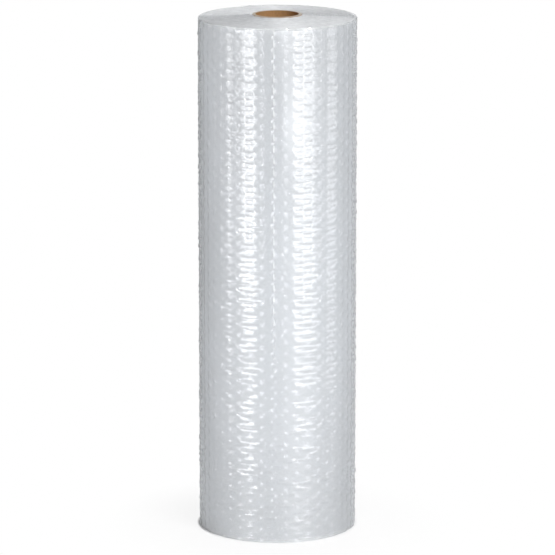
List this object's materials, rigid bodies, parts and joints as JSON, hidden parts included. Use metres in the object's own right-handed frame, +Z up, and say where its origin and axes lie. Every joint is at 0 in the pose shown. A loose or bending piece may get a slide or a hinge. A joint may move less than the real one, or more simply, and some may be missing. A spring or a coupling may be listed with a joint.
{
  "type": "roll of bubble cushioning film",
  "caption": "Tall roll of clear bubble cushioning film wound on a cardboard core and stood on end, for unrolling from a spindle to pack goods.",
  "frame": {"origin": "on the core's axis, at the bottom end of the standing roll", "axes": "+Z up the core's axis; -Y towards the front; the cut end of the film lies at the back, on the left as seen from the front"},
  "size_m": [0.1873, 0.1897, 0.6128],
  "materials": {
    "core_card": "brown spiral-wound paper board, matt",
    "clear_film": "clear polyethylene bubble film in many layers, whitish and glossy"
  },
  "bodies": {
    "root": {"core_tube": "core_card", "bubble_film": "clear_film"}
  },
  "joints": []
}
